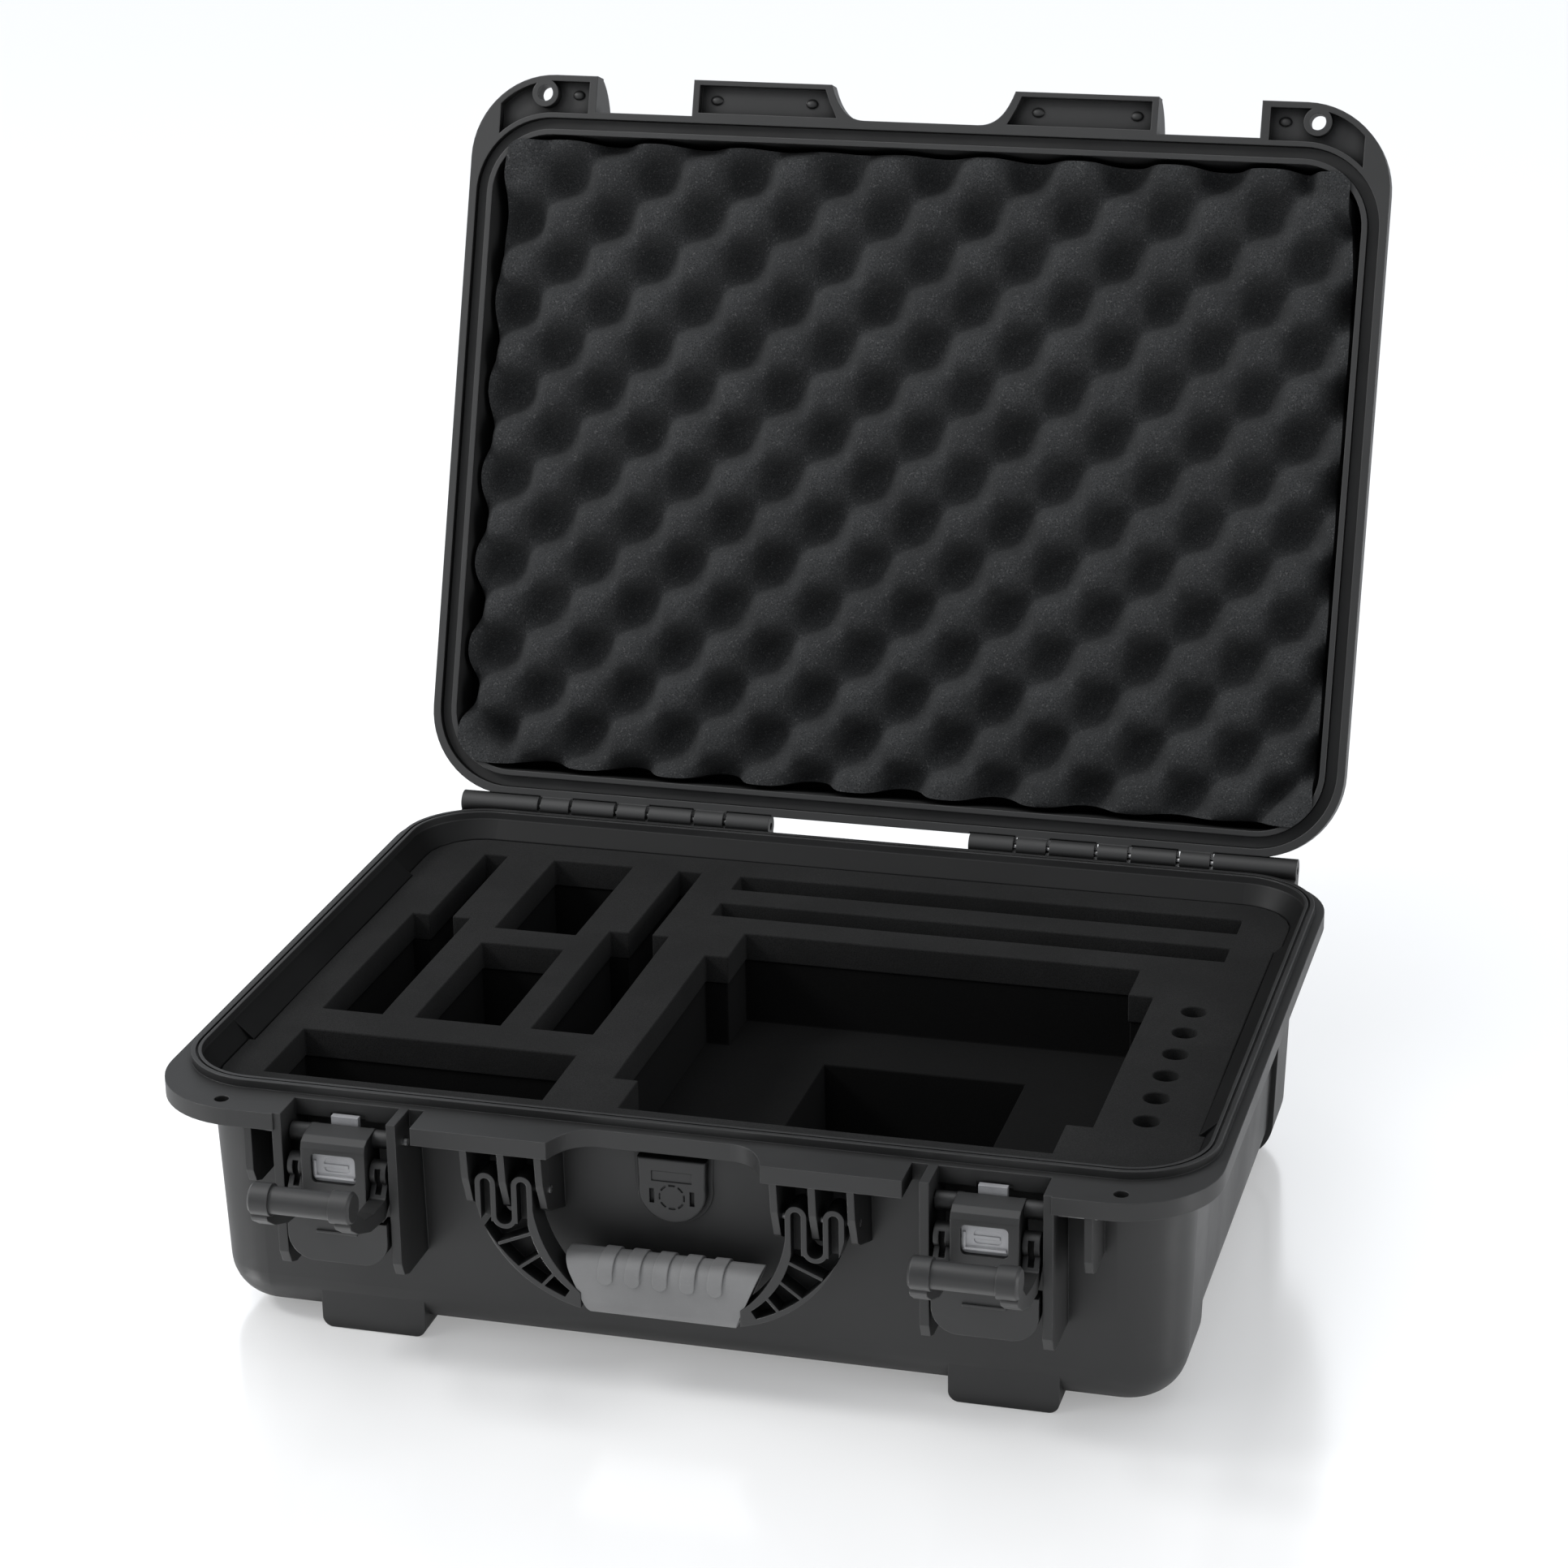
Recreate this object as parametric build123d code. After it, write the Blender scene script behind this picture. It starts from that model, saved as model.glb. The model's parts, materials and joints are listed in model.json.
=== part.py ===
from build123d import *
import os
from math import atan2, degrees, hypot

# Drone carrying case, lid standing open. Millimetres, +Z up, front towards -Y.
# The origin is on the floor plane, under the middle of the base.

# ---- plan ----
FLANGE_X = 251.0  # half width of the rim flange
PLAN_GAP = 64.0  # half depth is this much less than half width
CORNER_X = 205.0  # all plan corners are concentric about this x
FLANGE_FRONT = 206.0  # the padlock ears and handle ledges reach this far forward
RIM_FRONT = 187.5  # plain rim flange, front and back
RIDGE_X = 241.0  # inner face of the sealing tongue

# ---- heights ----
UNDERSIDE_Z = 4.0
FLANGE_LOW_Z = 119.5
RIM_Z = 128.0
TONGUE_H = 4.0
FOAM_TOP_Z = 119.0
LID_GAP = 0.3  # between the two rims when closed
LID_FLANGE_T = 10.2
LID_SKIN_Z = 182.0
LID_PAD_H = 8.0
PADLOCK_X = 211.0
PADLOCK_Y = -196.0
PADLOCK_R = 3.4
LID_PADLOCK_R = 4.3

# ---- walls ----
WALL = 3.0
BODY_X = 237.0  # outer half width of the tub under the flange
SIDE_STEP = 3.0  # the side walls' middle panel sits this far in
SIDE_PANEL_Y = 107.0  # half length of that panel
DRAFT = 0.039  # millimetres of draft per millimetre of depth
BOTTOM_R = 22.0
MIDDLE_X = 127.0  # between the feet the underside is raised, out to this x
MIDDLE_RAISE = 5.0
FOOT_R = 5.0

# ---- hinge ----
HINGE_Y = 192.7
HINGE_Z = 131.0
LID_ANGLE = 108.9  # opening angle of the standing lid
KNUCKLE_R = 6.2
KNUCKLE_SWEEP = 0.45  # radial room that the other half leaves round a knuckle
HINGE_PIN_R = 2.0
RUN_CLEAR = 0.05
HINGE_PITCH = 43.7
LID_KNUCKLE_X = 89.0  # first lid knuckle of each hinge
LID_KNUCKLE_W = 16.0
BASE_KNUCKLE_W = 24.0
HINGE_END_X = 230.0

# ---- latches ----
LATCH_X = 152.7
PIVOT_Y = -193.0
LEVER_PIVOT_Z = 114.5
CLAW_PIVOT_Z = 95.0
LATCH_PIN_R = 1.75
CLAW_PIN_R = 1.6
BAR_Y = -245.0
BAR_Z = 104.8
BAR_R = 7.6
BAR_HALF = 24.5
ARM_IN = 16.2
ARM_OUT = 24.0
HUB_R = 6.4
BARREL_R = 4.3
COVER_HALF = 15.5
SKIRT_HALF = 24.4
PANEL_FRONT = -208.0
PANEL_T = 2.5
SKIRT_TOP_Z = 78.0
SKIRT_LOW_Z = 56.0
SLIDE_TAB_HALF = 6.6
SLIDE_TAB_TOP_Z = 122.6
LOCK_SWEEP_R = 9.95  # relief under the rim for the slide's tab

# ---- handle ----
HANDLE_Y = -192.0
HANDLE_Z = 98.0
HANDLE_PIN_R = 1.8
ARM_FRONT = -200.0
ARM_BACK = -186.5
GRIP_TOP_Z = 68.0
GRIP_LOW_Z = 38.5
GRIP_DEPTH = 21.0
GRIP_CORNER_R = 8.5
GRIP_Y = -189.0
BAND_PITCH = 13.0
BAND_HALF = 3.6
BAND_END_Z = 60.0  # the bands end round at the middle of the grip's front and back
PRONG_X = (53.5, 71.3, 89.2)  # inner faces of the three prongs on each side
PRONG_T = 3.4

# ---- valve ----
VALVE_Z = 95.0
VALVE_FACE = -173.0
VALVE_R = 8.0

# ---- foam ----
FOAM_GAP = 0.3
TOP_LAYER_T = 15.0
FLOOR_PAD_T = 22.0
FLOOR_Z = UNDERSIDE_Z + 3.5
BAY_FLOOR_Z = 70.0
SLOT_FLOOR_Z = 45.0
LID_FOAM_X = 234.0
LID_FOAM_Y = 169.5
LID_FOAM_R = 24.0
LID_FOAM_LOW_Z = 132.0
LID_FOAM_TOP_Z = 171.0

# plan of every cut-out: name: (x0, x1, y0, y1, floor)
CUTS = {
    "battery_slot_a": (-203.0, -190.5, 60.0, 149.0, SLOT_FLOOR_Z),
    "battery_bay_a": (-212.0, -181.0, -66.5, 60.5, SLOT_FLOOR_Z),
    "charger_bay": (-163.5, -120.0, 51.0, 148.5, SLOT_FLOOR_Z),
    "spare_bay": (-164.0, -120.0, -67.0, 30.5, SLOT_FLOOR_Z),
    "battery_slot_b": (-94.0, -81.5, 59.0, 148.5, SLOT_FLOOR_Z),
    "battery_bay_b": (-104.0, -72.5, -67.0, 59.5, SLOT_FLOOR_Z),
    "tool_bay": (-212.0, -73.0, -143.0, -92.5, SLOT_FLOOR_Z),
    "rear_slot": (-59.0, 208.5, 130.0, 147.5, SLOT_FLOOR_Z),
    "blade_slot": (-60.0, 208.5, 93.0, 110.0, SLOT_FLOOR_Z),
    "drone_bay": (-47.5, 182.0, -112.5, 40.5, BAY_FLOOR_Z),
    "drone_bay_back": (-35.5, 169.5, 40.0, 72.5, BAY_FLOOR_Z),
    "drone_bay_front": (-35.5, 169.5, -144.5, -112.0, BAY_FLOOR_Z),
    "gimbal_pocket": (18.0, 119.5, -46.5, 28.5, FLOOR_Z + FLOOR_PAD_T),
}
PEG_X = 204.6
PEG_FIRST_Y = -100.5
PEG_PITCH = 25.6
PEG_COUNT = 6
PEG_R = 6.2

RIM_TOP_Z = RIM_Z + TONGUE_H
LID_LOW_Z = RIM_Z + LID_GAP
LID_FLANGE_TOP_Z = LID_LOW_Z + LID_FLANGE_T
SIDES = {"left": -1, "right": 1}
OVER = 1.0  # cutters run past a face by this much


def box(x0, x1, y0, y1, z0, z1):
    centre = ((x0 + x1) / 2, (y0 + y1) / 2, (z0 + z1) / 2)
    return Pos(*centre) * Box(abs(x1 - x0), abs(y1 - y0), abs(z1 - z0))


def rod_x(y, z, radius, x0, x1):
    return Pos((x0 + x1) / 2, y, z) * Rot(0, 90, 0) * Cylinder(radius, abs(x1 - x0))


def rod_y(x, z, radius, y0, y1):
    return Pos(x, (y0 + y1) / 2, z) * Rot(90, 0, 0) * Cylinder(radius, abs(y1 - y0))


def rod_z(x, y, radius, z0, z1):
    return Pos(x, y, (z0 + z1) / 2) * Cylinder(radius, abs(z1 - z0))


def plate_x(points, x0, x1, radius=0):
    """A plate between x0 and x1 whose (y, z) outline is a closed polygon, corners rounded."""
    if radius:
        outline = FilletPolyline(*points, radius=radius, close=True)
    else:
        outline = Polyline(*points, close=True)
    return Pos(x0, 0, 0) * extrude(Plane.YZ * make_face(outline), x1 - x0)


def plate_y(outline, y0, y1):
    """A plate between y0 and y1 from a closed wire drawn with (x, z) coordinates."""
    return Pos(0, y1, 0) * extrude(Plane.XZ * make_face(outline), y1 - y0)


def mirrored(shape):
    return mirror(shape, about=Plane.YZ)


def rounded_plan(half_x, half_y, radius):
    return RectangleRounded(2 * half_x, 2 * half_y, radius)


def plan(half_x):
    """The case's rounded plan at a given half width."""
    return rounded_plan(half_x, half_x - PLAN_GAP, half_x - CORNER_X)


def tapered(low, high, z_low, z_high):
    return loft([Pos(0, 0, z_low) * low, Pos(0, 0, z_high) * high], ruled=True)


def ring(half_out, half_in, z0, z1):
    both = plan(half_out) - plan(half_in)
    return Pos(0, 0, z0) * extrude(both, z1 - z0)


def tub_section(inset, z, step):
    half = BODY_X - inset - DRAFT * (FLANGE_LOW_Z - z)
    return rounded_plan(half - step, half - PLAN_GAP, half - CORNER_X - step)


def with_side_panels(full, stepped, inset):
    """The full form at the ends of each side, the stepped-in form along its middle panel."""
    far, panel_y = FLANGE_X, SIDE_PANEL_Y + inset
    panel = box(-far, far, -panel_y, panel_y, -OVER, RIM_Z + 2 * OVER)
    return (full - panel) + stepped


def tub(inset, z_low, z_high, corner_r=0.0):
    """The tub's form inset from the outer face, with the side panels stepped in."""
    parts = []
    for step in (0, SIDE_STEP):
        low, high = tub_section(inset, z_low, step), tub_section(inset, z_high, step)
        part = tapered(low, high, z_low, z_high)
        if corner_r:
            part = fillet(part.edges().group_by(Axis.Z)[0], corner_r)
        parts.append(part)
    return with_side_panels(*parts, inset)


def mouth():
    """The sloping space between the foam's top and the sealing tongue."""
    parts = []
    for step in (0, SIDE_STEP):
        low = tub_section(WALL, FOAM_TOP_Z, step)
        parts.append(tapered(low, plan(RIDGE_X), FOAM_TOP_Z, RIM_Z + 0.01))
    return with_side_panels(*parts, WALL)


def rim_outline(gap_in, gap_out):
    """The rim flange's plan: ears and ledges in front, with two latch gaps and a hollow middle."""
    depth = FLANGE_FRONT + RIM_FRONT
    plate = RectangleRounded(2 * FLANGE_X, depth, FLANGE_X - CORNER_X)
    plate = Pos(0, (RIM_FRONT - FLANGE_FRONT) / 2) * plate
    front = -FLANGE_FRONT - OVER
    for side in (-1, 1):
        gap = Pos(side * (gap_in + gap_out) / 2, (front - RIM_FRONT + OVER) / 2)
        plate -= gap * Rectangle(gap_out - gap_in, -RIM_FRONT + OVER - front)
    sweep = [(31, -RIM_FRONT), (42, -RIM_FRONT), (47, -196), (50.5, front)]
    other = [(-x, y) for x, y in reversed(sweep)]
    middle = Curve() + [Line(other[-1], sweep[0]), Bezier(*sweep)]
    middle += [Line(sweep[-1], other[0]), Bezier(*other)]
    return plate - make_face(middle)


# ---- hinge ----


def base_knuckles():
    """(x0, x1) of the base knuckles of the right-hand hinge."""
    first = LID_KNUCKLE_X - HINGE_PITCH / 2
    spans = []
    for i in range(3):
        middle = first + i * HINGE_PITCH
        spans.append((middle - BASE_KNUCKLE_W / 2, middle + BASE_KNUCKLE_W / 2))
    last = first + 3 * HINGE_PITCH - BASE_KNUCKLE_W / 2
    spans.append((last, HINGE_END_X))
    return spans


def lid_knuckles():
    middles = [LID_KNUCKLE_X + i * HINGE_PITCH for i in range(3)]
    return [(m - LID_KNUCKLE_W / 2, m + LID_KNUCKLE_W / 2) for m in middles]


def knuckle(x0, x1, arm):
    return rod_x(HINGE_Y, HINGE_Z, KNUCKLE_R, x0, x1) + plate_x(arm, x0, x1)


def knuckle_relief(spans):
    """Room round the other half's knuckles, with half a millimetre at each end."""
    radius = KNUCKLE_R + KNUCKLE_SWEEP
    return [rod_x(HINGE_Y, HINGE_Z, radius, a - 0.6, b + 0.6) for a, b in spans]


BASE_ARM = [
    (183, FLANGE_LOW_Z), (195, FLANGE_LOW_Z), (HINGE_Y + KNUCKLE_R, HINGE_Z),
    (HINGE_Y, HINGE_Z), (187.6, RIM_Z - 0.1), (183, RIM_Z - 0.1),
]
LID_ARM = [
    (183, LID_LOW_Z + 0.2), (187.6, LID_LOW_Z + 0.2), (HINGE_Y, HINGE_Z),
    (HINGE_Y + KNUCKLE_R, HINGE_Z), (196, LID_FLANGE_TOP_Z), (183, LID_FLANGE_TOP_Z),
]


def opened(shape):
    """Turn a piece built for the closed lid to the standing lid."""
    return shape.rotate(Axis((0, HINGE_Y, HINGE_Z), (1, 0, 0)), -LID_ANGLE)


def hinge_pin():
    pin = rod_x(HINGE_Y, HINGE_Z, HINGE_PIN_R, base_knuckles()[0][0] + 1, HINGE_END_X - 1)
    return chamfer(pin.edges(), 0.4)


# ---- base ----


def latch_rib(x0, x1, front, low, wall_y):
    top = RIM_Z
    reach = 9.0
    points = [
        (wall_y, top), (front, top), (front, low + reach),
        (front + reach * 0.35, low + reach * 0.25), (front + reach, low), (wall_y, low),
    ]
    return plate_x(points, x0, x1)


def prong(x0):
    """One of the brackets that the handle's fingers hang between."""
    points = [
        (-168, FLANGE_LOW_Z + OVER), (-204, FLANGE_LOW_Z + OVER), (-202, 104),
        (-196.5, 90), (-192, 87), (-168, 78),
    ]
    return plate_x(points, x0, x0 + PRONG_T)


def shield(half, top_z, low_z):
    """The valve's outline: flat top, round bottom."""
    shoulder = top_z - (top_z - low_z) * 0.42
    return Curve() + [
        Polyline((-half * 0.97, shoulder), (-half, top_z), (half, top_z), (half * 0.97, shoulder)),
        ThreePointArc((half * 0.97, shoulder), (0, low_z), (-half * 0.97, shoulder)),
    ]


def foot(y0, y1):
    top = 22.0
    outline = Curve() + [
        Polyline((MIDDLE_X, FOOT_R), (MIDDLE_X, top), (179, top), (179, FOOT_R)),
        ThreePointArc((179, FOOT_R), (177.5, 1.5), (179 - FOOT_R, 0)),
        Line((179 - FOOT_R, 0), (MIDDLE_X + FOOT_R, 0)),
        ThreePointArc((MIDDLE_X + FOOT_R, 0), (MIDDLE_X + 1.5, 1.5), (MIDDLE_X, FOOT_R)),
    ]
    return plate_y(outline, y0, y1)


def raised_floor(gap):
    """The cavity's floor over the raised middle of the underside."""
    side = MIDDLE_X + WALL + gap
    return box(-side, side, -FLANGE_X, FLANGE_X, 0, FLOOR_Z + MIDDLE_RAISE)


def base_shell():
    body = tub(0, UNDERSIDE_Z, FLANGE_LOW_Z, BOTTOM_R)
    rim = Pos(0, 0, FLANGE_LOW_Z) * extrude(rim_outline(115, 182), RIM_Z - FLANGE_LOW_Z)
    tongue = ring(RIDGE_X + 5, RIDGE_X, RIM_Z, RIM_TOP_Z)
    channel = ring(RIDGE_X + 2.8, RIDGE_X + 1.6, RIM_TOP_Z - 1.2, RIM_TOP_Z + OVER)
    adds = [latch_rib(122.6, 127.0, -205, 48.5, -164)]
    adds.append(latch_rib(178.4, 183.0, -205, 48.5, -164))
    adds.append(latch_rib(195.6, 199.4, -200, 86.0, -168))
    adds += [prong(x) for x in PRONG_X]
    adds += [foot(-168.2, -126), foot(126, 168.2)]
    adds += [knuckle(a, b, BASE_ARM) for a, b in base_knuckles()]
    pad = plate_y(shield(18.8, 114, 78.0), -168, VALVE_FACE)
    shell = body + [rim, tongue, pad] + adds + [mirrored(a) for a in adds]

    arch = box(-MIDDLE_X, MIDDLE_X, -FLANGE_X, FLANGE_X, 0, UNDERSIDE_Z + MIDDLE_RAISE)
    cavity = tub(WALL, FLOOR_Z, FOAM_TOP_Z, BOTTOM_R - WALL) - raised_floor(0)
    cuts = [arch, cavity, mouth(), channel]
    pairs = [rod_z(PADLOCK_X, PADLOCK_Y, PADLOCK_R, FLANGE_LOW_Z - OVER, RIM_Z + OVER)]
    pairs.append(rod_x(PIVOT_Y, LEVER_PIVOT_Z, LATCH_PIN_R, 121, 201))
    pairs.append(rod_x(HANDLE_Y, HANDLE_Z, HANDLE_PIN_R, 50, 94))
    pairs.append(rod_x(HINGE_Y, HINGE_Z, HINGE_PIN_R + RUN_CLEAR, 50, 240))
    pairs += knuckle_relief(lid_knuckles())
    tab_relief = rod_x(PIVOT_Y, LEVER_PIVOT_Z, LOCK_SWEEP_R, LATCH_X - 8.4, LATCH_X + 8.4)
    pairs.append(tab_relief & box(140, 165, -187.5, -170, 110, RIM_Z - 0.5))
    cuts += pairs + [mirrored(p) for p in pairs]
    valve_seat = rod_y(0, VALVE_Z, 14.5, -170.5, -167.6)
    valve_hole = rod_y(0, VALVE_Z, VALVE_R + 0.05, -180, -160)
    return shell - cuts + valve_seat - valve_hole


# ---- lid ----


def gusset(x0, x1):
    """Curved side cheek between a ledge and the lid's wall."""
    back, front = -175, -FLANGE_FRONT
    low, lip, top = LID_LOW_Z, LID_LOW_Z + 8, LID_LOW_Z + 30
    outline = Curve() + [
        Polyline((back, top), (back, low), (front, low), (front, lip)),
        ThreePointArc((front, lip), (-195, LID_LOW_Z + 23), (back, top)),
    ]
    return Pos(x0, 0, 0) * extrude(Plane.YZ * make_face(outline), x1 - x0)


def lid_tray():
    """Hollow under a ledge, open to the parting face, with one end slanted like the ledge."""
    plan_points = [(123.6, -203.4), (53.6, -203.4), (51.0, -197), (46.5, -188.4), (123.6, -188.4)]
    face = make_face(Polyline(*plan_points, close=True))
    return Pos(0, 0, LID_LOW_Z - OVER) * extrude(face, OVER + 6.2)


def lid_shell():
    rim = Pos(0, 0, LID_LOW_Z) * extrude(rim_outline(127.0, 181.5), LID_FLANGE_T)
    wall_low = plan(RIDGE_X + 1.5)
    wall_high = plan(RIDGE_X - 1.5)
    body = tapered(wall_low, wall_high, LID_LOW_Z + 4, LID_SKIN_Z)
    body = fillet(body.edges().group_by(Axis.Z)[-1], 11)
    pads = [(-108, 108, -146, 146), (194, 226, -128, 128), (-226, -194, -128, 128)]
    adds = [rim]
    for x0, x1, y0, y1 in pads:
        pad = box(x0, x1, y0, y1, LID_SKIN_Z - 1, LID_SKIN_Z + LID_PAD_H)
        pad = fillet(pad.edges().filter_by(Axis.Z), 12)
        pad = fillet(pad.edges().group_by(Axis.Z)[-1], 3)
        adds.append(pad)
    pairs = [gusset(122.5, 127.0), gusset(181.5, 186.0)]
    pairs += [knuckle(a, b, LID_ARM) for a, b in lid_knuckles()]
    pairs.append(rod_x(-185.2, LID_FLANGE_TOP_Z, 1.9, 127.0, 181.5))
    adds += pairs + [mirrored(p) for p in pairs]
    shell = body + adds

    inner = RIDGE_X - 0.3
    hollow = tapered(plan(inner - 2.9), plan(inner - 4.6), LID_LOW_Z - OVER, LID_SKIN_Z - 3.8)
    hollow = fillet(hollow.edges().group_by(Axis.Z)[-1], 7)
    groove = ring(RIDGE_X + 5.9, inner, LID_LOW_Z - OVER, LID_LOW_Z + 7.2)
    boss = rod_z(PADLOCK_X, PADLOCK_Y, 7.4, LID_LOW_Z - OVER, LID_LOW_Z + 8)
    ear = Pos(0, 0, LID_LOW_Z - OVER) * extrude(ear_pocket(), 6.2 + OVER)
    cut = [
        ear - boss,
        lid_tray(),
        rod_z(PADLOCK_X, PADLOCK_Y, LID_PADLOCK_R, LID_LOW_Z - OVER, LID_FLANGE_TOP_Z + OVER),
        rod_x(HINGE_Y, HINGE_Z, HINGE_PIN_R + RUN_CLEAR, 50, 240),
    ]
    cut += knuckle_relief(base_knuckles())
    shell -= [hollow, groove] + cut + [mirrored(c) for c in cut]
    dimples = []
    for x in (62.0, 115.0, 193.5):
        dimple = Pos(x, -196, LID_LOW_Z + 6.2) * scale(Sphere(3.4), (1.0, 0.75, 0.55))
        dimples += [dimple, mirrored(dimple)]
    return shell + dimples


def ear_pocket():
    """Plan of the hollow inside a padlock ear."""
    outer = Pos(0, (RIM_FRONT - FLANGE_FRONT) / 2) * RectangleRounded(
        2 * (FLANGE_X - 3.2), FLANGE_FRONT + RIM_FRONT - 6.4, FLANGE_X - 3.2 - CORNER_X
    )
    keep_out = plan(RIDGE_X + 8.6)
    zone = Pos(211, -175) * Rectangle(50, 70)
    return (outer & zone) - keep_out


def lid_gasket():
    return ring(RIDGE_X + 5.8, RIDGE_X - 0.2, LID_LOW_Z + 4.3, LID_LOW_Z + 7.1)


def lid_foam():
    sheet = rounded_plan(LID_FOAM_X, LID_FOAM_Y, LID_FOAM_R)
    return Pos(0, 0, LID_FOAM_LOW_Z) * extrude(sheet, LID_FOAM_TOP_Z - LID_FOAM_LOW_Z)


# ---- foam ----


def cut_boxes(z_high):
    cuts = []
    for x0, x1, y0, y1, floor in CUTS.values():
        if floor < z_high:
            cuts.append(box(x0, x1, y0, y1, floor, z_high + OVER))
    for i in range(PEG_COUNT):
        y = PEG_FIRST_Y + i * PEG_PITCH
        cuts.append(rod_z(PEG_X, y, PEG_R, BAY_FLOOR_Z, z_high + OVER))
    return cuts


def foam_layer(z_low, z_high, corner_r=0.0):
    block = tub(WALL + FOAM_GAP, z_low, z_high, corner_r)
    nut_room = box(-16, 16, -172, -160, 79, 111)
    return block - [nut_room]


def foam_top_layer():
    return foam_layer(FOAM_TOP_Z - TOP_LAYER_T, FOAM_TOP_Z) - cut_boxes(FOAM_TOP_Z)


def foam_core():
    z_high = FOAM_TOP_Z - TOP_LAYER_T
    return foam_layer(FLOOR_Z + FLOOR_PAD_T, z_high) - cut_boxes(z_high)


def foam_floor_pad():
    pad = foam_layer(FLOOR_Z, FLOOR_Z + FLOOR_PAD_T, BOTTOM_R - WALL)
    return pad - raised_floor(FOAM_GAP)


# ---- valve ----


def valve_housing():
    flange = rod_y(0, VALVE_Z, 11.0, VALVE_FACE - 2.2, VALVE_FACE)
    tube = rod_y(0, VALVE_Z, VALVE_R, VALVE_FACE, -162.2)
    groove = rod_y(0, VALVE_Z, 10.2, VALVE_FACE - 1.3, VALVE_FACE + OVER)
    groove -= rod_y(0, VALVE_Z, 8.3, VALVE_FACE - 2, VALVE_FACE + 2)
    bore = rod_y(0, VALVE_Z, 6.0, VALVE_FACE - 5, -167)
    vent = rod_y(0, VALVE_Z, 3.5, -170, -160)
    return flange + tube - [groove, bore, vent]


def valve_o_ring():
    torus = Torus(9.25, 0.62)
    return Pos(0, VALVE_FACE - 0.65, VALVE_Z) * Rot(90, 0, 0) * torus


def valve_membrane():
    return rod_y(0, VALVE_Z, 5.9, -167.4, -167.0)


def valve_nut():
    nut = Rot(90, 0, 0) * extrude(RegularPolygon(13.5, 6), 2.3, both=True)
    nut = Pos(0, -165.2, VALVE_Z) * nut
    return nut - rod_y(0, VALVE_Z, VALVE_R + 0.02, -170, -160)


def valve_cap():
    front = VALVE_FACE - 4.6
    cap = plate_y(shield(16.4, 112, 79.8), VALVE_FACE - 0.05, front)
    cap = fillet(cap.faces().sort_by(Axis.Y)[0].edges(), 1.2)
    cap -= rod_y(0, VALVE_Z, 11.3, VALVE_FACE - 2.4, VALVE_FACE + OVER)
    dial_z = 93.0
    rings = rod_y(0, dial_z, 6.3, front - OVER, front + 0.6)
    rings -= rod_y(0, dial_z, 5.5, front - 2, front + 2)
    for i in range(8):
        rings -= Pos(0, front, dial_z) * Rot(0, 45 * i + 22.5, 0) * Pos(0, 0, 6) * Box(1.6, 8, 4)
    slots = []
    for x in (-9.6, 9.6):
        slots.append(box(x - 1.1, x + 1.1, front - OVER, front + 1.8, dial_z - 3.6, dial_z + 3.6))
    label = box(-9.6, 9.6, front - OVER, front + 0.6, 100.6, 105.6)
    return cap - [rings, label] - slots


# ---- handle ----


def arm_outline():
    """Right arm in (x, z): two fingers above, sweeping in towards the grip below."""
    top = 106.6
    outer, inner = 87.0, 59.6
    return [
        Line((outer, 92), (outer, 101.7)),
        ThreePointArc((outer, 101.7), ((outer + 77.2) / 2, top), (77.2, 101.7)),
        Line((77.2, 101.7), (77.2, 85.5)),
        ThreePointArc((77.2, 85.5), (73.4, 81.7), (69.6, 85.5)),
        Line((69.6, 85.5), (69.6, 101.7)),
        ThreePointArc((69.6, 101.7), ((inner + 69.6) / 2, top), (inner, 101.7)),
        Line((inner, 101.7), (inner, 90)),
        ThreePointArc((inner, 90), (54.6, 72.6), (38, 51)),
        Line((38, 51), (38, 43.2)),
        ThreePointArc((38, 43.2), (72.6, 63.4), (outer, 92)),
    ]


def handle_pocket():
    """Hollows in the arm's front that leave its thin serpentine wall and three cross ribs."""
    finger_depth, depth = ARM_FRONT + 5.6, ARM_FRONT + 9.0
    cuts = []
    for x in (82.1, 64.6):
        slot = box(x - 2.4, x + 2.4, ARM_FRONT - OVER, finger_depth, 80.0, 101.6)
        cuts.append(slot + rod_y(x, 101.6, 2.4, ARM_FRONT - OVER, finger_depth))
    field = Curve() + [
        Line((62.2, 82.6), (84.6, 82.6)),
        ThreePointArc((84.6, 82.6), (69.0, 62.6), (45.4, 48.0)),
        Line((45.4, 48.0), (43.0, 51.6)),
        ThreePointArc((43.0, 51.6), (55.6, 65.4), (62.2, 82.6)),
    ]
    hollow = plate_y(field, depth, ARM_FRONT - OVER)
    hollow -= rod_y(73.4, 85.5, 6.0, ARM_FRONT - 2 * OVER, depth + OVER)
    ribs = [
        ((74.0, 72.7), (61.0, 78.2)),
        ((65.8, 61.3), (56.0, 68.6)),
        ((55.8, 53.0), (49.4, 60.2)),
    ]
    for (x0, z0), (x1, z1) in ribs:
        length = hypot(x1 - x0, z1 - z0) + 6
        turn = degrees(atan2(z1 - z0, x1 - x0))
        rib = Pos((x0 + x1) / 2, ARM_FRONT, (z0 + z1) / 2) * Rot(0, -turn, 0) * Box(length, 30, 1.5)
        hollow -= rib
    return cuts + hollow.solids()


def grip_section(grow):
    """The grip's rounded section."""
    height = GRIP_TOP_Z - GRIP_LOW_Z
    return RectangleRounded(GRIP_DEPTH + 2 * grow, height + 2 * grow, GRIP_CORNER_R)


def grip_bar(grow, x0, x1):
    middle_z = (GRIP_TOP_Z + GRIP_LOW_Z) / 2
    face = Plane.YZ * (Pos(GRIP_Y, middle_z) * grip_section(grow))
    return Pos(x0, 0, 0) * extrude(face, x1 - x0)


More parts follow.
